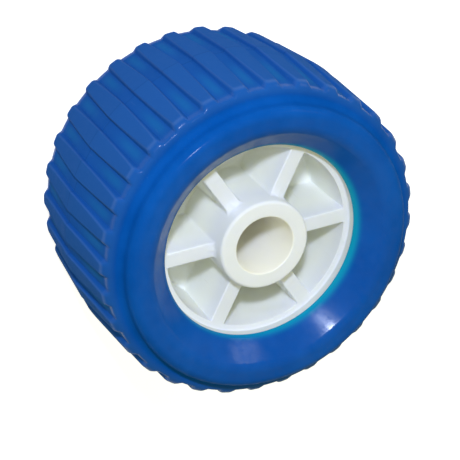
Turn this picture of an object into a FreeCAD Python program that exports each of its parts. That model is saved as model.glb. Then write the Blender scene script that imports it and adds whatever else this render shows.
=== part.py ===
import FreeCAD, Part
import math
import os
from FreeCAD import Vector

# A ribbed boat trailer roller that stands on one end, in millimetres. Its axis is Z, the bottom face of
# the tyre is at Z = 0 and a spoke lies along +X. Both ends are alike, mirrored in the middle plane.

# Tyre, over all
tyre_diameter = 120.0
tyre_width = 77.0
# Tread: width over the flat shoulders, fall of the ribs towards their ends, and the ribs themselves
tread_width = 64.0
crown_fall = 1.95
shoulder_radius = 4.0
shoulder_facets = 2
rib_count = 32
rib_height = 1.4
rib_width_middle = 6.4
rib_width_end = 5.0
rib_flank_angle = 22.0
# Angle from a spoke to the nearest rib, as the tyre came to be moulded round the hub
rib_turn = 1.5
# Raised ring on each end face: foot and crest of its outer wall, and its width over the flat top
ring_foot_diameter = 103.4
ring_crest_diameter = 101.4
ring_width = 7.55
ring_crest_chamfer = 1.2
# Hub: rim tube that the tyre is moulded round, with a thinner wall from the spokes' ends to its mouth
rim_diameter = 74.0
rim_length = 57.4
rim_wall = 3.6
rim_mouth_wall = 1.6
rim_mouth_depth = 3.1
# Lip of the tyre over the end of the rim, flush with the mouth, and the play between rim and tyre
lip_thickness = 0.5
bond_clearance = 0.0
# Hub: boss tube and its bore
boss_diameter = 32.4
boss_length = 63.7
boss_chamfer = 0.6
bore_diameter = 21.0
bore_chamfer = 0.4
# Hub: spokes and web, with the draft that makes a spoke thicker towards the web
spoke_count = 6
spoke_thickness = 5.5
spoke_root_chamfer = 1.2
web_thickness = 3.6
draft_angle = 1.2
# How far a cutting shape reaches past the surface that it cuts
overcut = 2.0

middle = tyre_width / 2
rim_radius = rim_diameter / 2
mouth_radius = rim_radius - rim_mouth_wall
spoke_end = rim_length / 2 - rim_mouth_depth
axis_start = Vector(0, 0, 0)
axis = Vector(0, 0, 1)


def revolved(upper_half):
    """Solid of revolution from (radius, height above the middle plane) points and their mirror image."""
    lower_half = [(radius, -height) for radius, height in reversed(upper_half)]
    corners = [Vector(radius, 0, middle + height) for radius, height in upper_half + lower_half]
    outline = Part.makePolygon(corners + corners[:1])
    return Part.Face(outline).revolve(axis_start, axis, 360).removeSplitter()


def make_hub():
    """Rim tube, spokes, web and bored boss, moulded in one piece."""
    boss = boss_diameter / 2
    bore = bore_diameter / 2
    blank = revolved([
        (bore, boss_length / 2 - bore_chamfer),
        (bore + bore_chamfer, boss_length / 2),
        (boss - boss_chamfer, boss_length / 2),
        (boss, boss_length / 2 - boss_chamfer),
        (boss, spoke_end + spoke_root_chamfer),
        (boss + spoke_root_chamfer, spoke_end),
        (mouth_radius, spoke_end),
        (mouth_radius, rim_length / 2),
        (rim_radius, rim_length / 2),
    ])
    return blank.cut(make_pockets())


def gap_section(half_spoke, height):
    """Triangle that opens outwards between two spokes, its tip where their sides would meet."""
    half_pitch = math.pi / spoke_count
    tip = half_spoke / math.sin(half_pitch)
    far = rim_diameter
    half_width = (far - tip) * math.tan(half_pitch)
    level = middle + height
    return [Vector(tip, 0, level), Vector(far, -half_width, level), Vector(far, half_width, level)]


def flat_sided_solid(start, end):
    """Closed solid with a polygon at each end and flat faces between their sides."""
    outlines = [start, end]
    for number in range(len(start)):
        outlines.append([start[number - 1], start[number], end[number], end[number - 1]])
    faces = [Part.Face(Part.makePolygon(corners + corners[:1])) for corners in outlines]
    return Part.Solid(Part.Shell(faces))


def make_pockets():
    """The pockets between the spokes at both ends, up past the chamfers at the spokes' roots."""
    floor = web_thickness / 2
    top = spoke_end + spoke_root_chamfer
    half_spoke = spoke_thickness / 2
    half_spoke_at_web = half_spoke + (spoke_end - floor) * math.tan(math.radians(draft_angle))

    floor_centre = Vector(0, 0, middle + floor)
    ring = Part.makeCylinder(rim_radius - rim_wall, top - floor, floor_centre, axis)
    ring = ring.cut(Part.makeCylinder(boss_diameter / 2, top - floor, floor_centre, axis))
    drafted = flat_sided_solid(gap_section(half_spoke_at_web, floor), gap_section(half_spoke, spoke_end))
    straight = flat_sided_solid(gap_section(half_spoke, spoke_end), gap_section(half_spoke, top))
    pocket = ring.common(drafted.fuse(straight))

    pockets = []
    for number in range(spoke_count):
        upper = pocket.copy()
        upper.rotate(axis_start, axis, (number + 0.5) * 360 / spoke_count)
        pockets.append(upper)
        pockets.append(upper.mirror(Vector(0, 0, middle), axis))
    return pockets


def rib_top_radius(height):
    """Radius over the ribs, which falls evenly from the middle plane to the shoulders."""
    return tyre_diameter / 2 - crown_fall * abs(height) / (tread_width / 2)


def rib_width(height):
    """Width of a rib's top, which narrows evenly from the middle plane to the shoulders."""
    return rib_width_middle + (rib_width_end - rib_width_middle) * abs(height) / (tread_width / 2)


def valley_section(height):
    """Corners of the cut between two ribs: flat floor and sloping flanks, wider outwards."""
    top = rib_top_radius(height)
    floor = top - rib_height
    rim = top + overcut
    slope = math.tan(math.radians(rib_flank_angle))
    half_gap = (2 * math.pi * top / rib_count - rib_width(height)) / 2
    half_floor = half_gap - rib_height * slope
    half_rim = half_gap + overcut * slope
    level = middle + height
    return [
        Vector(floor, -half_floor, level),
        Vector(rim, -half_rim, level),
        Vector(rim, half_rim, level),
        Vector(floor, half_floor, level),
    ]


def make_valleys():
    """The cuts that leave the ribs standing, narrowest at the middle plane."""
    reach = tread_width / 2 + overcut
    upper = flat_sided_solid(valley_section(0), valley_section(reach))
    lower = flat_sided_solid(valley_section(0), valley_section(-reach))
    valleys = []
    for number in range(rib_count):
        for half in (upper, lower):
            turned = half.copy()
            turned.rotate(axis_start, axis, (number + 0.5) * 360 / rib_count + rib_turn)
            valleys.append(turned)
    return valleys


def shoulder_corner():
    """Points of the round from the ribs' tops to the flat shoulder, equally spaced along its arc."""
    half_width = tread_width / 2
    fall = math.atan(crown_fall / half_width)
    sweep = math.pi / 2 - fall
    corner_radius = rib_top_radius(half_width)
    tangent = shoulder_radius * math.tan(sweep / 2)
    centre = (corner_radius - tangent, half_width - shoulder_radius)
    points = []
    for number in range(shoulder_facets + 1):
        turn = math.pi / 2 - number * sweep / shoulder_facets
        along = centre[0] + shoulder_radius * math.cos(turn)
        points.append((along, centre[1] + shoulder_radius * math.sin(turn)))
    return points


def make_tyre():
    """Ribbed tread, rounded shoulders, raised end rings and the conical dish down to the hub's mouth."""
    crest = ring_crest_diameter / 2
    blank = revolved([
        (rim_radius + bond_clearance, rim_length / 2 + bond_clearance),
        (mouth_radius, rim_length / 2 + bond_clearance),
        (mouth_radius, rim_length / 2 + lip_thickness),
        (crest - ring_width, tyre_width / 2),
        (crest - ring_crest_chamfer, tyre_width / 2),
        (crest, tyre_width / 2 - ring_crest_chamfer),
        (ring_foot_diameter / 2, tread_width / 2),
        *shoulder_corner(),
        (rib_top_radius(0), 0),
    ])
    return blank.cut(make_valleys())


os.makedirs("parts", exist_ok=True)
make_hub().exportStep("parts/hub.step")
make_tyre().exportStep("parts/tyre.step")
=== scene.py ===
import math

import bmesh
import bpy
import numpy as np
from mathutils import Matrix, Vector


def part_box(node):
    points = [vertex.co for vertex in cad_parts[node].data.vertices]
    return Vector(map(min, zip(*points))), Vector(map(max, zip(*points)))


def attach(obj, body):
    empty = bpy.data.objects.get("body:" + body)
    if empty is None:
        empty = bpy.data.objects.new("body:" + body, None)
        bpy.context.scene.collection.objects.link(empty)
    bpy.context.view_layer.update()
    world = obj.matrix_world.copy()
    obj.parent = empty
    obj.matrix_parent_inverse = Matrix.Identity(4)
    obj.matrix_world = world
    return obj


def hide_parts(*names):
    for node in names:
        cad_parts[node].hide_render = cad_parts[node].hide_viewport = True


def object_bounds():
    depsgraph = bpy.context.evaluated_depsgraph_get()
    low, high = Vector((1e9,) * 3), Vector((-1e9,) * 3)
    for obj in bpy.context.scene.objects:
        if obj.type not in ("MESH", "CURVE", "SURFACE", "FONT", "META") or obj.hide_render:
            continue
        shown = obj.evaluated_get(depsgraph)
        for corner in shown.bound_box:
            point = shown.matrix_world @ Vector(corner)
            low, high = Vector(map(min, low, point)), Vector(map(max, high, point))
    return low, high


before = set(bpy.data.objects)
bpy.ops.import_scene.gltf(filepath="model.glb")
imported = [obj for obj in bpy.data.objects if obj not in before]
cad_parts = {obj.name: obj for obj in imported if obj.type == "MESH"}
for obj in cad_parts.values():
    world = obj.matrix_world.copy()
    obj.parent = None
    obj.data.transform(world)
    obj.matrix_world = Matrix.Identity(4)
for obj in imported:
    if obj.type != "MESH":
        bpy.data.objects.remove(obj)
cad_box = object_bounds()


# Hub: one white polypropylene moulding. Six spokes and a web join the boss, bored for the axle pin, to the
# rim tube that the tyre was moulded round. The pockets narrow a little inwards, so that they left the mould.
mm = 0.001
# The roller stands on one end with its axis on Z, and both ends are mirror images in the middle plane
middle = (cad_box[0][2] + cad_box[1][2]) / 2
rim_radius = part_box("hub")[1][0]
rim_end = 28.7 * mm
mouth_radius = rim_radius - 1.6 * mm
pocket_radius = rim_radius - 3.6 * mm
pocket_edge_round = 0.2 * mm
ledge_start = pocket_radius + 0.3 * mm
ledge_fillet = 0.45 * mm
boss_radius = 16.2 * mm
boss_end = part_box("hub")[1][2] - middle
boss_edge_round = 1.1 * mm
bore_radius = 10.5 * mm
bore_edge_round = 0.5 * mm
spoke_count = 6
spoke_half = 2.75 * mm
spoke_end = 25.6 * mm
spoke_edge_round = 0.5 * mm
boss_fillet = 1.4 * mm
web_half = 1.8 * mm
rim_edge_round = 0.1 * mm
rim_corner_round = 0.45 * mm
rim_corner_least = 0.08 * mm
boss_corner_round = 1.2 * mm
boss_corner_least = 0.2 * mm
pocket_floor_round = 0.8 * mm
draft = math.radians(1.2)
half_pitch = math.pi / spoke_count
longest_row = 3 * mm
merge_distance = 0.002 * mm
# Steps along the five zones of half a pocket's outline, and rows of a pocket's floor, rounds, wall and crown
outline_steps = [10, 4, 12, 5, 6]
floor_rows = 6
round_rows = 5
wall_rows = 12
crown_rows = 7
# Where painted shade at the mouth and painted light in the pockets and bore set in, as heights from the
# middle plane or as radii
mouth_fade = (spoke_end, spoke_end + 1 * mm)
rim_fade = (mouth_radius - 0.5 * mm, mouth_radius)
pocket_fade = (spoke_end, 14 * mm)
bore_fade = (bore_radius + 0.6 * mm, bore_radius)
plastic_dark = (0.83, 0.86, 0.94)
plastic_light = (0.855, 0.88, 0.97)
# Painted shade: the rim's mouth past the spokes is painted this duller grey-blue for its shade and the tyre's
# blue reflection
mouth_shade_grey = (0.62, 0.66, 0.66)
# Painted light: the pockets are painted paler towards the web, for the light bounced and scattered into them
pocket_painted_light = (0.965, 0.99, 0.95)
# Painted light: the bore is painted this bright cream, for the light that scatters and bounces into it
bore_painted_light = (1.0, 0.99, 0.93)
dust_colour = (0.70, 0.69, 0.60)
mouth_shade_strength = 0.85


def polar(radius, turn):
    """The point radius * (cos turn + i sin turn) of a plane held as complex numbers."""
    return radius * np.exp(1j * turn)


def between(start, end, share):
    """The point start + share * (end - start)."""
    return start + share * (end - start)


def zones(steps):
    """Number of the zone, and share of the way through it, for each point of a line made of zones."""
    zone = np.repeat(np.arange(len(steps)), steps)
    share = (np.arange(sum(steps)) - np.repeat(np.cumsum(steps) - steps, steps)) / np.repeat(steps, steps)
    return np.append(zone, len(steps) - 1), np.append(share, 1.0)


def pocket_corners(inset):
    """Sizes of a pocket's corner rounds at the rim and at the boss, moved in by inset, and the angles from
    the pocket's middle to their centres: half the pitch less the arcsine of the centre's distance from the
    spoke's middle line over its distance from the axis."""
    at_rim = np.maximum(rim_corner_round - inset, rim_corner_least)
    at_boss = np.maximum(boss_corner_round - inset, boss_corner_least)
    rim_turn = half_pitch - np.arcsin((spoke_half + inset + at_rim) / (pocket_radius - inset - at_rim))
    boss_turn = half_pitch - np.arcsin((spoke_half + inset + at_boss) / (boss_radius + inset + at_boss))
    return at_rim, at_boss, rim_turn, boss_turn


pocket_zone, pocket_share = zones(outline_steps)


def pocket_half_outline(inset):
    """Half of a pocket's outline, moved in by inset: rim arc, corner arc, spoke's side, corner arc and boss
    arc, each a circle or line of the inset, with the share of the way along it as the second parameter."""
    at_rim, at_boss, rim_turn, boss_turn = pocket_corners(inset)
    rim = pocket_radius - inset
    boss = boss_radius + inset
    side = polar(1, half_pitch)
    square = half_pitch + math.pi / 2
    rim_foot = np.sqrt((rim - at_rim) ** 2 - (spoke_half + inset + at_rim) ** 2)
    boss_foot = np.sqrt((boss + at_boss) ** 2 - (spoke_half + inset + at_boss) ** 2)
    return np.choose(pocket_zone, [
        polar(rim, rim_turn * pocket_share),
        polar(rim - at_rim, rim_turn) + polar(at_rim, between(rim_turn, square, pocket_share)),
        side * (between(rim_foot, boss_foot, pocket_share) - 1j * (spoke_half + inset)),
        polar(boss + at_boss, boss_turn) + polar(at_boss, between(square, boss_turn + math.pi, pocket_share)),
        polar(boss, boss_turn * (1 - pocket_share)),
    ])


def quarter_fillet(distance, radius):
    """Height of a concave fillet at a distance from the wall: r - sqrt(r^2 - (r - d)^2), and 0 past r."""
    inside = np.clip(radius - distance, 0, radius)
    return radius - np.sqrt(radius ** 2 - inside ** 2)


def spoke_top(point):
    """Height of a spoke's end above the middle plane, which rises in a fillet to the boss."""
    return spoke_end + quarter_fillet(np.abs(point) - boss_radius, boss_fillet)


def pocket_and_spoke_sides():
    """Rows from a pocket's floor up its drafted wall, over the rounded edge of the spoke and of the rim's
    ledge, and on to the spoke's middle line. Columns go round the pocket. With n the narrowing by the
    draft, r the floor's round, e the edge's round and t from 0 to a quarter turn, a row is the outline
    moved in by n + r (1 - sin t) at r (1 - cos t) above the web in the floor's fillet, by n times the share
    of the way down on the wall, and out by e (1 - cos t) at e (1 - sin t) below the spoke's end in the
    edge's round."""
    blend = pocket_share * pocket_share * (3 - 2 * pocket_share)
    edge = np.choose(pocket_zone, [
        pocket_edge_round,
        between(pocket_edge_round, spoke_edge_round, blend),
        spoke_edge_round,
        spoke_edge_round * (1 - blend),
        0,
    ])
    narrowing = (spoke_end - web_half) * math.tan(draft)
    columns = np.ones(len(pocket_zone))

    foot = pocket_half_outline((narrowing + pocket_floor_round) * columns)
    centre = (pocket_radius + boss_radius) / 2
    shares = np.linspace(0, 1, floor_rows + 1)[:-1, None]
    floor = between(centre, foot, shares)
    floor_height = web_half * np.ones(floor.shape)

    turns = np.linspace(0, math.pi / 2, round_rows + 1)[:, None]
    fillet = pocket_half_outline(narrowing + pocket_floor_round * (1 - np.sin(turns)) * columns)
    fillet_height = web_half + pocket_floor_round * (1 - np.cos(turns)) * columns

    shares = np.linspace(0, 1, wall_rows + 1)[1:-1, None]
    top = spoke_top(pocket_half_outline(0 * columns)) - edge
    wall = pocket_half_outline(narrowing * (1 - shares) * columns)
    wall_height = between(web_half + pocket_floor_round, top, shares)

    rounding = pocket_half_outline(-edge * (1 - np.cos(turns)))
    rounding_height = spoke_top(rounding) - edge * (1 - np.sin(turns))

    _, _, rim_turn, boss_turn = pocket_corners(0)
    border = np.choose(pocket_zone, [
        polar(ledge_start, rim_turn * pocket_share),
        polar(ledge_start, between(rim_turn, half_pitch, pocket_share)),
        polar(between(ledge_start, boss_radius, pocket_share), half_pitch),
        polar(boss_radius, between(half_pitch, boss_turn, pocket_share)),
        polar(boss_radius, boss_turn * (1 - pocket_share)),
    ])
    shares = np.linspace(0, 1, crown_rows + 1)[1:, None]
    crown = between(rounding[-1], border, shares)
    crown_height = spoke_top(crown)

    points = np.concatenate([floor, fillet, wall, rounding, crown])
    heights = np.concatenate([floor_height, fillet_height, wall_height, rounding_height, crown_height])
    whole = np.concatenate([points, np.conj(points[:, -2::-1])], axis=1)
    return whole, np.concatenate([heights, heights[:, -2::-1]], axis=1)


def rounded_path(corners, rounds, steps=6):
    """The path through the corners with each inner one replaced by an arc that touches both its sides: it
    starts r * tan(turn / 2) before the corner and its centre is r to the side of that point."""
    path = np.array([complex(*corner) for corner in corners])
    rounds = np.array(rounds)[:, None]
    along = np.diff(path) / np.abs(np.diff(path))
    turn = np.angle(along[1:] / along[:-1])[:, None]
    start = path[1:-1, None] - along[:-1, None] * rounds * np.tan(np.abs(turn) / 2)
    centre = start + 1j * np.sign(turn) * along[:-1, None] * rounds
    arcs = centre + (start - centre) * np.exp(1j * turn * np.linspace(0, 1, steps))
    return np.concatenate([path[:1], arcs.ravel(), path[-1:]])


def divided(path, longest):
    """The path with each stretch of length d cut into ceil(d / longest) equal parts."""
    parts = np.maximum(1, np.ceil(np.abs(np.diff(path)) / longest)).astype(int)
    zone, share = zones(parts)
    return between(path[zone], path[zone + 1], share)


def turned(profile, turns):
    """Surface of revolution: the point (r, h) of the profile at the turn a is (r cos a, r sin a, h)."""
    plane = profile.real[:, None] * np.exp(1j * turns)
    return plane, np.repeat(profile.imag[:, None], len(turns), axis=1)


def full_circle(half_sector):
    """Angles all round from those of half a sector, mirrored in the sector's middle and repeated."""
    sector = np.concatenate([-half_sector[:0:-1], half_sector[:-1]])
    starts = half_pitch + 2 * half_pitch * np.arange(spoke_count)
    return np.append((starts[:, None] + sector).ravel(), starts[0] - half_pitch + 2 * math.pi)


def finished_piece(name, surfaces):
    """Mesh object from surfaces of (points, heights above the middle plane), each a grid that is joined by
    quads. Points that coincide are merged and the faces turned outwards."""
    vertices = []
    faces = []
    count = 0
    for points, heights in surfaces:
        corner = count + np.arange(points.size).reshape(points.shape)
        around = [corner[:-1, :-1], corner[:-1, 1:], corner[1:, 1:], corner[1:, :-1]]
        faces.append(np.stack(around, axis=-1).reshape(-1, 4))
        vertices.append(np.stack([points.real, points.imag, middle + heights], axis=-1).reshape(-1, 3))
        count += points.size
    mesh = bpy.data.meshes.new(name)
    mesh.from_pydata(np.concatenate(vertices), [], np.concatenate(faces))
    shell = bmesh.new()
    shell.from_mesh(mesh)
    bmesh.ops.remove_doubles(shell, verts=shell.verts, dist=merge_distance)
    bmesh.ops.dissolve_degenerate(shell, edges=shell.edges, dist=merge_distance / 2)
    bmesh.ops.recalc_face_normals(shell, faces=shell.faces)
    shell.to_mesh(mesh)
    shell.free()
    mesh.shade_smooth()
    piece = bpy.data.objects.new(name, mesh)
    bpy.context.collection.objects.link(piece)
    even = piece.modifiers.new("even shading", "WEIGHTED_NORMAL")
    even.weight = 60
    return piece


pocket, pocket_height = pocket_and_spoke_sides()
hub_surfaces = []
for end in (1, -1):
    for number in range(spoke_count):
        placed = pocket * polar(1, half_pitch * (2 * number + 1))
        hub_surfaces.append((placed, end * pocket_height))

_, _, rim_corner_turn, boss_corner_turn = pocket_corners(0)
rim_share = pocket_share[pocket_zone == 0]
rim_corner_share = pocket_share[pocket_zone == 1]
boss_share = 1 - pocket_share[pocket_zone == 4][::-1]
boss_corner_share = 1 - pocket_share[pocket_zone == 3][::-1]
rim_half_sector = np.concatenate([
    rim_corner_turn * rim_share,
    between(rim_corner_turn, half_pitch, rim_corner_share),
    [half_pitch],
])
boss_half_sector = np.concatenate([
    boss_corner_turn * boss_share,
    between(boss_corner_turn, half_pitch, boss_corner_share),
])
rim_profile = rounded_path(
    [(ledge_start, spoke_end), (mouth_radius, spoke_end), (mouth_radius, rim_end), (rim_radius, rim_end),
     (rim_radius, 0)],
    [ledge_fillet, rim_edge_round, rim_edge_round])
boss_profile = rounded_path(
    [(boss_radius, spoke_end + boss_fillet), (boss_radius, boss_end), (bore_radius, boss_end),
     (bore_radius, 0)],
    [boss_edge_round, bore_edge_round])
for profile, half_sector in ((rim_profile, rim_half_sector), (boss_profile, boss_half_sector)):
    upper = divided(profile, longest_row)
    hub_surfaces.append(turned(np.concatenate([upper, np.conj(upper[-2::-1])]), full_circle(half_sector)))
hub = finished_piece("white_hub", hub_surfaces)


def feed(tree, end, value):
    """Gives an input what it reads: a link from another node's socket, or else a plain value."""
    if isinstance(value, bpy.types.NodeSocket):
        tree.links.new(value, end)
    else:
        end.default_value = value


def node(tree, kind, place, group=None, **inputs):
    """Shader node at a place, with the node group that it stands for, if any, and what each of its named
    inputs reads."""
    made = tree.nodes.new(kind)
    made.location = place
    if group:
        made.node_tree = group
    for name, value in inputs.items():
        feed(tree, made.inputs[name.replace("_", " ")], value)
    return made


def wire(tree, *ends):
    """Links each pair of sockets: the first one's value goes to the second."""
    for start, end in zip(ends[::2], ends[1::2]):
        tree.links.new(start, end)


def ranged(tree, place, value, start, end, low=0.0, high=1.0):
    """The value taken from the range start to end on to the range low to high, and held at its ends."""
    made = node(tree, "ShaderNodeMapRange", place, Value=value, From_Min=start, From_Max=end, To_Min=low,
                To_Max=high)
    made.interpolation_type = "SMOOTHSTEP"
    return made.outputs["Result"]


def calculated(tree, place, operation, first, second):
    """Sum, product or the like of two values, each a socket or a number."""
    made = node(tree, "ShaderNodeMath", place)
    made.operation = operation
    feed(tree, made.inputs[0], first)
    feed(tree, made.inputs[1], second)
    return made.outputs[0]


def product(tree, place, first, *others):
    """All the values multiplied together, each a socket or a number."""
    for number, value in enumerate(others):
        first = calculated(tree, (place[0] + 180 * number, place[1]), "MULTIPLY", first, value)
    return first


def mixed(tree, place, share, first, second):
    """Colour mixed from the first to the second by a share; each is a socket or a plain colour."""
    made = node(tree, "ShaderNodeMix", place, Factor=share)
    made.data_type = "RGBA"
    for end, colour in ((made.inputs[6], first), (made.inputs[7], second)):
        feed(tree, end, (*colour, 1) if isinstance(colour, tuple) else colour)
    return made.outputs[2]


def layered(tree, colour, *layers):
    """The colour with each layer of (share, colour) laid over it in turn."""
    for number, (share, over) in enumerate(layers):
        colour = mixed(tree, (-1100 + 180 * number, 500), share, colour, over)
    return colour


def new_material(name, **values):
    """Material with one Principled shader, whose plain values are set on its own sockets."""
    material = bpy.data.materials.new(name)
    material.use_nodes = True
    tree = material.node_tree
    shader = tree.nodes["Principled BSDF"]
    for socket, value in values.items():
        shader.inputs[socket.replace("_", " ")].default_value = value
    return material, tree, shader


def new_group(name, inputs, outputs):
    """Node group that is still empty, what its named inputs give, and what its named outputs read."""
    group = bpy.data.node_groups.new(name, "ShaderNodeTree")
    for socket, kind in inputs.items():
        group.interface.new_socket(socket, in_out="INPUT", socket_type=kind)
    for socket in outputs:
        group.interface.new_socket(socket, in_out="OUTPUT", socket_type="NodeSocketFloat")
    start = node(group, "NodeGroupInput", (-1100, -200))
    end = node(group, "NodeGroupOutput", (400, 0))
    return group, start.outputs, end.inputs


def moulded_skin():
    """Node group for the face of a moulding. Cloud is a slow share for colour, and Wear a finer one, which
    takes Roughness from Polished to Worn. Scuff is a few thin scratches, as strong as Scuffing says, and
    Height the shallow waves of the mould, with a fine grain on top that is Grain times as high."""
    group, given, end = new_group(
        "moulded skin", dict.fromkeys(("Polished", "Worn", "Scuffing", "Grain"), "NodeSocketFloat"),
        ("Cloud", "Wear", "Roughness", "Scuff", "Height"))
    place = node(group, "ShaderNodeTexCoord", (-1100, 100)).outputs["Object"]
    tilt = node(group, "ShaderNodeMapping", (-950, -700), Vector=place, Rotation=(0.6, 0.9, 0.4),
                Scale=(2300, 2300, 90)).outputs["Vector"]
    cloud = node(group, "ShaderNodeTexNoise", (-800, 300), Vector=place, Scale=58, Detail=4, Roughness=0.6)
    wear = node(group, "ShaderNodeTexNoise", (-800, 50), Vector=place, Scale=320, Detail=5, Roughness=0.68)
    waves = node(group, "ShaderNodeTexNoise", (-800, -200), Vector=place, Scale=170, Detail=2, Roughness=0.5)
    grain = node(group, "ShaderNodeTexNoise", (-800, -450), Vector=place, Scale=1900, Detail=3, Roughness=0.6)
    scuff = node(group, "ShaderNodeTexNoise", (-750, -700), Vector=tilt, Scale=1, Detail=2, Roughness=0.5)
    cloudy = ranged(group, (-500, 300), cloud.outputs[0], 0.3, 0.7)
    worn = ranged(group, (-500, 50), wear.outputs[0], 0.36, 0.68)
    rough = ranged(group, (-200, 50), worn, 0, 1, given["Polished"], given["Worn"])
    scratched = ranged(group, (-500, -700), scuff.outputs[0], 0.68, 0.8)
    scratched = product(group, (-200, -700), scratched, given["Scuffing"])
    fine = product(group, (-500, -450), grain.outputs[0], given["Grain"])
    high = calculated(group, (-200, -300), "ADD", waves.outputs[0], fine)
    wire(group, cloudy, end["Cloud"], worn, end["Wear"], rough, end["Roughness"], scratched, end["Scuff"],
         high, end["Height"])
    return group


def roller_place():
    """Node group for where a point lies. Radius is the distance sqrt((x - cx)^2 + (y - cy)^2) from the
    axis, or from a line beside it through the Centre (cx, cy). Height is the distance |z - middle| from the
    middle plane."""
    group, given, end = new_group("roller place", {"Centre": "NodeSocketVector"}, ("Radius", "Height"))
    place = node(group, "ShaderNodeTexCoord", (-1100, 100)).outputs["Object"]
    apart = node(group, "ShaderNodeSeparateXYZ", (-800, 100), Vector=place)
    up = calculated(group, (-600, 100), "SUBTRACT", apart.outputs["Z"], middle)
    up = calculated(group, (-400, 100), "ABSOLUTE", up, 0)
    outwards = [node(group, "ShaderNodeVectorMath", (-800 + 200 * number, -200)) for number in range(3)]
    for made, operation in zip(outwards, ("SUBTRACT", "MULTIPLY", "LENGTH")):
        made.operation = operation
    away, flat, reach = outwards
    flat.inputs[1].default_value = (1, 1, 0)
    wire(group, place, away.inputs[0], given["Centre"], away.inputs[1], away.outputs[0], flat.inputs[0],
         flat.outputs[0], reach.inputs[0], reach.outputs["Value"], end["Radius"], up, end["Height"])
    return group


skin = moulded_skin()
where = roller_place()
white, tree, shader = new_material("white_plastic", Specular_IOR_Level=0.18, Subsurface_Weight=0.3,
                                   Subsurface_Radius=(1.0, 0.95, 0.6), Subsurface_Scale=2.5 * mm)
face = node(tree, "ShaderNodeGroup", (-1500, 0), skin, Polished=0.46, Worn=0.64, Scuffing=0.3,
            Grain=0.22).outputs
radius, from_middle = node(tree, "ShaderNodeGroup", (-1500, -500), where, Centre=(0, 0, 0)).outputs
# Painted shade over the rim's mouth, beyond the spokes' ends
past_spokes = ranged(tree, (-1300, -200), from_middle, *mouth_fade)
on_rim = ranged(tree, (-1300, -450), radius, *rim_fade)
mouth = product(tree, (-1100, -300), past_spokes, on_rim, mouth_shade_strength)
# Painted light deep in the pockets
pocket_light_share = ranged(tree, (-1300, -700), from_middle, *pocket_fade)
# Painted light inside the bore
bore_light_share = ranged(tree, (-1300, -950), radius, *bore_fade)
clean = mixed(tree, (-1300, 500), face["Cloud"], plastic_dark, plastic_light)
# Over the plastic's own tone: painted shade at the mouth, painted light in the pockets and the bore, and dust
# in the scratches
colour = layered(tree, clean, (mouth, mouth_shade_grey), (pocket_light_share, pocket_painted_light), (bore_light_share, bore_painted_light),
                 (face["Scuff"], dust_colour))
bump = node(tree, "ShaderNodeBump", (-300, -250), Strength=0.25, Distance=0.12 * mm, Height=face["Height"])
wire(tree, colour, shader.inputs["Base Color"], face["Roughness"], shader.inputs["Roughness"],
     bump.outputs["Normal"], shader.inputs["Normal"])
hub.data.materials.append(white)
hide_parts("hub")
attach(hub, "root")


# Tyre: blue elastomer cast round the hub, lighter where it runs out thin on the rim. It has 32 straight ribs
# that are widest at the middle plane, rounded shoulders, and on each face a raised ring round a conical dish.
tyre_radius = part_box("tyre")[1][0]
ring_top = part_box("tyre")[1][2] - middle
tread_end = 32 * mm
crown_fall = 1.95 * mm
shoulder_round = 4 * mm
rib_count = 32
rib_height_middle = 1.4 * mm
rib_height_end = 1.9 * mm
valley_blend = 0.45 * mm
rib_foot_middle = 3.7 * mm
rib_foot_end = 3.1 * mm
rib_edge_middle = 0.8 * mm
rib_edge_end = 2.1 * mm
rib_turn = math.radians(1.5)
valley_corner = 0.3 * mm
ring_foot_radius = 51.7 * mm
ring_crest_radius = 51.2 * mm
ring_inner_radius = 43.5 * mm
lip_top = (35.85 * mm, 30.35 * mm)
ring_foot_round = 2.5 * mm
ring_crest_round = 3.3 * mm
ring_inner_round = 5.0 * mm
lip_end = rim_end + 0.5 * mm
lip_round = 0.35 * mm
lip_top_round = 1.5 * mm
lip_foot_round = 0.05 * mm
valley_start = ring_foot_radius + 1 * mm
tyre_row = 2.4 * mm
# Steps from a rib's middle line to the next valley's: its flat top, its flank, the corner and the floor
rib_steps = [1, 6, 1, 2]
# Marks in the valleys: the painted shade along a rib's foot, and the lighter patch between two ribs' feet
crease_width = 0.25 * mm
crease_end = 31 * mm
patch_edge = 2.2 * mm
patch_start_fade = (6 * mm, 20 * mm)
patch_end_fade = (30 * mm, 23 * mm)
# Where one look runs into the next, as heights from the middle plane or as radii
seam_fade = (0.35 * mm, 0.1 * mm)
tread_fade = (53 * mm, 56 * mm)
shoulder_fade = (28 * mm, 30 * mm)
shoulder_foot_fade = (53 * mm, 55 * mm)
face_fade = (52 * mm, 46 * mm)
lip_fade = (36 * mm, 38.5 * mm)
relief_fade = (38 * mm, 53 * mm)
film_fade = (mouth_radius + 2.4 * mm, mouth_radius - 0.5 * mm)
film_centre = (-0.4 * mm, 0.45 * mm, 0)
face_blue_dark = (0.0, 0.073, 0.37)
face_blue_light = (0.002, 0.09, 0.43)
# Painted sheen: the tread is painted this greyer violet-blue for the sheen that it catches at a slant
tread_sheen_blue = (0.015, 0.093, 0.365)
patch_teal = (0.01, 0.17, 0.42)
# Painted shade along the ribs' feet
foot_shade_blue = (0.0, 0.055, 0.32)
seam_blue = (0.002, 0.04, 0.2)
film_teal = (0.003, 0.32, 0.52)
# Pale blue of the scuffs, also used for a painted highlight with light wear along the ribs' edges
scuff_and_highlight_blue = (0.16, 0.27, 0.55)
# Shares of the painted sheen on the ribs' tops and on the valley floors
rib_sheen = 0.95
valley_sheen = 0.55
patch_strength = 0.34
foot_shade_strength = 0.25
seam_strength = 0.35
edge_highlight_strength = 0.1
lip_gloss = 0.5
shoulder_gloss = 0.38


def rib_top(height):
    """Radius over the ribs: it falls in a straight line from the middle plane to the shoulders."""
    return tyre_radius - crown_fall * np.abs(height) / tread_end


def end_share(height):
    """Share of the way from the middle plane to the end of the tread, and 1 past it."""
    return np.minimum(np.abs(height) / tread_end, 1)


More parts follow.
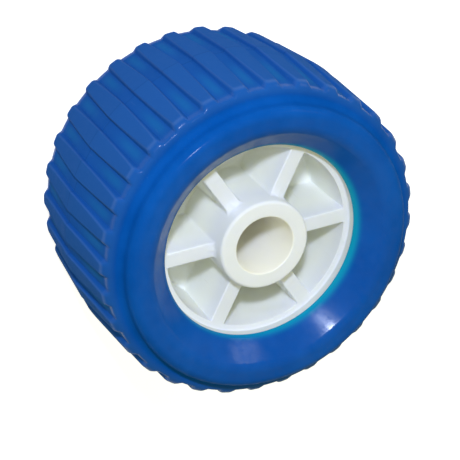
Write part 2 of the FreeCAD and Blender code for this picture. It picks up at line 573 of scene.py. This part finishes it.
def rib_foot(height):
    """Distance round the tread from a rib's middle line to its foot, narrowing evenly to its ends."""
    return between(rib_foot_middle, rib_foot_end, end_share(height))


def rib_edge_width(height):
    """Width of a rib's rounded edge, which grows with the square of the height until the end is a dome."""
    return between(rib_edge_middle, rib_edge_end, end_share(height) ** 2)


def valley_floor(height):
    """Radius of the valleys' floor, which lies deeper under the ribs with the square of the height."""
    return rib_top(height) - between(rib_height_middle, rib_height_end, end_share(height) ** 2)


def ribbed_tyre():
    """The turned section with the valleys pressed in. At the turn a and height h a point is at the radius
    R(h) - m(a) * b * log(1 + exp((R(h) - F(h)) / b)), with F the valleys' floor, b the blend that lets it
    run softly on to the shoulder, and m the square of the share of the way down a rib's flank, so that the
    ribs' edges are round and the valleys' corners crisp."""
    section = rounded_path(
        [(rim_radius, rim_end), (mouth_radius, rim_end), (mouth_radius, lip_end), lip_top,
         (ring_inner_radius, ring_top), (ring_crest_radius, ring_top), (ring_foot_radius, tread_end),
         (rib_top(tread_end), tread_end), (tyre_radius, 0)],
        [lip_foot_round, lip_round, lip_top_round, ring_inner_round, ring_crest_round, ring_foot_round,
         shoulder_round],
        steps=8)
    section = divided(section, tyre_row)
    section = np.concatenate([section, np.conj(section[-2::-1]), section[:1]])[:, None]
    height = section.imag

    zone, share = zones(rib_steps)
    foot = rib_foot(height) / rib_top(height)
    rib_edge = foot - rib_edge_width(height) / rib_top(height)
    beside = foot + valley_corner / rib_top(height)
    turn = np.choose(zone, [
        rib_edge * share,
        between(rib_edge, foot, share),
        between(foot, beside, share),
        between(beside, math.pi / rib_count, share),
    ])
    mask = np.choose(zone, [0, share * share, 1, 1])
    turn = np.concatenate([-turn[:, :0:-1], turn[:, :-1]], axis=1)
    mask = np.concatenate([mask[:0:-1], mask[:-1]])
    starts = rib_turn + 2 * math.pi / rib_count * np.arange(rib_count)
    turn = (starts[:, None] + turn[:, None, :]).reshape(len(section), -1)
    turn = np.concatenate([turn, turn[:, :1]], axis=1)
    mask = np.append(np.tile(mask, rib_count), mask[0])

    depth = valley_blend * np.logaddexp(0, (section.real - valley_floor(height)) / valley_blend)
    depth = np.where(section.real > valley_start, depth, 0)
    radius = section.real - mask * depth
    return polar(radius, turn), np.repeat(height, turn.shape[1], axis=1)


tyre = finished_piece("blue_tyre", [ribbed_tyre()])
points = np.empty(3 * len(tyre.data.vertices))
tyre.data.vertices.foreach_get("co", points)
across, along, up = points.reshape(-1, 3).T
height = up - middle
sunk = np.clip((rib_top(height) - np.hypot(across, along)) / rib_height_middle, 0, 1)
pitch = 2 * math.pi / rib_count
phase = np.mod(np.arctan2(along, across) - rib_turn + pitch / 2, pitch) - pitch / 2
from_foot = np.abs(phase) * rib_top(height) - rib_foot(height)
# Painted shade: a narrow band along each rib's foot, ending short of the shoulders
foot_shade = np.exp(-(from_foot / crease_width) ** 2) * (np.abs(height) < crease_end)
inner = np.clip(from_foot / patch_edge, 0, 1)
for name, values in (("valley", sunk), ("foot_shade", foot_shade), ("inner", inner)):
    tyre.data.attributes.new(name, "FLOAT", "POINT").data.foreach_set("value", values)


blue, tree, shader = new_material("blue_elastomer", Specular_IOR_Level=0.03, Coat_Roughness=0.155)
face = node(tree, "ShaderNodeGroup", (-2400, 0), skin, Polished=0.28, Worn=0.38, Scuffing=0.12,
            Grain=0.22).outputs
radius, from_middle = node(tree, "ShaderNodeGroup", (-2400, -400), where, Centre=(0, 0, 0)).outputs
from_film, _ = node(tree, "ShaderNodeGroup", (-2400, -650), where, Centre=film_centre).outputs
marks = {}
for number, name in enumerate(("valley", "foot_shade", "inner")):
    mark = node(tree, "ShaderNodeAttribute", (-2400, -900 - 200 * number))
    mark.attribute_name = name
    marks[name] = mark.outputs["Fac"]

# Painted sheen on the tread, weaker down in the valleys
on_tread = ranged(tree, (-1900, 900), radius, *tread_fade)
sheen_by_depth = ranged(tree, (-1900, 700), marks["valley"], 0.0, 0.6, rib_sheen, valley_sheen)
tread_sheen = product(tree, (-1700, 900), on_tread, sheen_by_depth)
patch_start = ranged(tree, (-2100, 500), from_middle, *patch_start_fade)
patch_end = ranged(tree, (-2100, 300), from_middle, *patch_end_fade)
from_feet = ranged(tree, (-2100, 100), marks["inner"], 0.0, 1.0, 0.0, patch_strength)
patch = product(tree, (-1900, 500), patch_start, patch_end, from_feet)
# Painted shade along the ribs' feet
painted_foot_shade = product(tree, (-1700, 300), marks["foot_shade"], foot_shade_strength)
at_seam = ranged(tree, (-1900, 100), from_middle, *seam_fade, 0.0, seam_strength)
seam = product(tree, (-1700, 100), on_tread, at_seam)
film = ranged(tree, (-1700, -100), from_film, *film_fade)
film = product(tree, (-1500, -100), film, film)
# Painted highlight with light wear along the ribs' rounded edges, joined with the scuffs
edge_top = ranged(tree, (-1900, -900), marks["valley"], 0.0, 0.12)
edge_foot = ranged(tree, (-1900, -1100), marks["valley"], 0.6, 0.15)
edge = product(tree, (-1700, -900), edge_top, edge_foot, edge_highlight_strength)
scuff_and_edge_highlight = calculated(tree, (-1300, -900), "MAXIMUM", edge, face["Scuff"])
solid = mixed(tree, (-1300, 500), face["Cloud"], face_blue_dark, face_blue_light)
# Over the face's tone: painted sheen, teal patches, painted shade at the ribs' feet, the seam, the thin film,
# scuffs and a painted edge highlight
colour = layered(tree, solid, (tread_sheen, tread_sheen_blue), (patch, patch_teal), (painted_foot_shade, foot_shade_blue),
                 (seam, seam_blue), (film, film_teal), (scuff_and_edge_highlight, scuff_and_highlight_blue))

shoulder_start = ranged(tree, (-1200, -600), from_middle, *shoulder_fade)
shoulder_foot = ranged(tree, (-1200, -800), radius, *shoulder_foot_fade)
on_shoulder = product(tree, (-1000, -600), shoulder_start, shoulder_foot)
inside_ring = ranged(tree, (-1200, -400), radius, *face_fade)
from_lip = ranged(tree, (-1200, -200), radius, *lip_fade, lip_gloss, 1.0)
on_face = product(tree, (-1000, -400), inside_ring, from_lip)
smooth = calculated(tree, (-800, 0), "MAXIMUM", on_face, on_shoulder)
dull = ranged(tree, (-600, 0), smooth, 0, 1, 0.45, 0.0)
roughness = calculated(tree, (-400, 0), "ADD", dull, face["Roughness"])
coated = calculated(tree, (-600, -500), "MAXIMUM", on_face, product(
    tree, (-800, -600), on_shoulder, shoulder_gloss))
shine = ranged(tree, (-600, -700), face["Wear"], 0, 1, 0.36, 0.18)
gloss = product(tree, (-400, -500), coated, shine)
from_hub = ranged(tree, (-600, -250), radius, *relief_fade, 0.05, 1.0)
relief = product(tree, (-400, -250), face["Height"], from_hub)
bump = node(tree, "ShaderNodeBump", (-200, -250), Strength=0.5, Distance=0.15 * mm, Height=relief)
wire(tree, colour, shader.inputs["Base Color"], roughness, shader.inputs["Roughness"],
     gloss, shader.inputs["Coat Weight"], bump.outputs["Normal"], shader.inputs["Normal"])
tyre.data.materials.append(blue)
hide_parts("tyre")
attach(tyre, "root")


# Camera: stands above and beside the roller, as the photograph was taken, rolled so that the axis points
# down and to the right of the picture.
camera_data = bpy.data.cameras.new("photograph")
camera_data.lens = 112.92
camera_data.sensor_width = 36
camera = bpy.data.objects.new("photograph", camera_data)
camera.location = (-114.05 * mm, -268.64 * mm, 459.20 * mm)
camera.rotation_euler = [math.radians(turn) for turn in (-26.596, -24.361, 116.617)]
bpy.context.collection.objects.link(camera)
bpy.context.scene.camera = camera


# Floor: a plain white sheet that reaches far past the view. The camera and reflections see it a little
# brighter than the lamps make it, so that it comes out white, and it keeps the roller's shadow.
floor_mesh = bpy.data.meshes.new("floor")
far = 40.0
floor_mesh.from_pydata([(-far, -far, 0), (far, -far, 0), (far, far, 0), (-far, far, 0)], [], [(0, 1, 2, 3)])
floor = bpy.data.objects.new("floor", floor_mesh)
bpy.context.collection.objects.link(floor)
paper, tree, shader = new_material("white_floor", Roughness=0.9, Base_Color=(0.7, 0.71, 0.74, 1),
                                   Specular_IOR_Level=0.1, Emission_Color=(1, 1, 1, 1))
path = node(tree, "ShaderNodeLightPath", (-900, 0)).outputs
seen = calculated(tree, (-700, 0), "MAXIMUM", path["Is Camera Ray"], path["Is Glossy Ray"])
seen = calculated(tree, (-500, 0), "MAXIMUM", seen, path["Is Transmission Ray"])
wire(tree, product(tree, (-300, 0), seen, 0.8), shader.inputs["Emission Strength"])
floor.data.materials.append(paper)


# Light: a warm white room, one small cool lamp a little above the camera, whose shadows fall away from the
# view, and one wider weak lamp to the upper right, which leaves the second soft streak on the dish.
world = bpy.data.worlds.new("white room")
bpy.context.scene.world = world
world.use_nodes = True
tree = world.node_tree
sky = tree.nodes["Background"]
sky.inputs["Color"].default_value = (1.0, 0.97, 0.54, 1)
sky.inputs["Strength"].default_value = 0.5


def soft_lamp(name, place, width, power):
    """Square area lamp at a place in the picture's own frame (right, up, towards the camera) from the
    roller's middle, which it faces."""
    lamp_data = bpy.data.lights.new(name, "AREA")
    lamp_data.size = width
    lamp_data.energy = power
    lamp = bpy.data.objects.new(name, lamp_data)
    turn = camera.rotation_euler.to_matrix()
    target = Vector((0, 0, middle))
    lamp.location = target + turn @ Vector(place)
    lamp.rotation_euler = (lamp.location - target).to_track_quat("Z", "Y").to_euler()
    bpy.context.collection.objects.link(lamp)
    return lamp


soft_lamp("key lamp", (0.0, 0.112, 0.589), 0.05, 2.5).data.color = (0.74, 0.81, 1.0)
soft_lamp("side lamp", (0.66, 0.51, 0.34), 0.3, 1.0)

bpy.context.scene.view_settings.view_transform = "Standard"
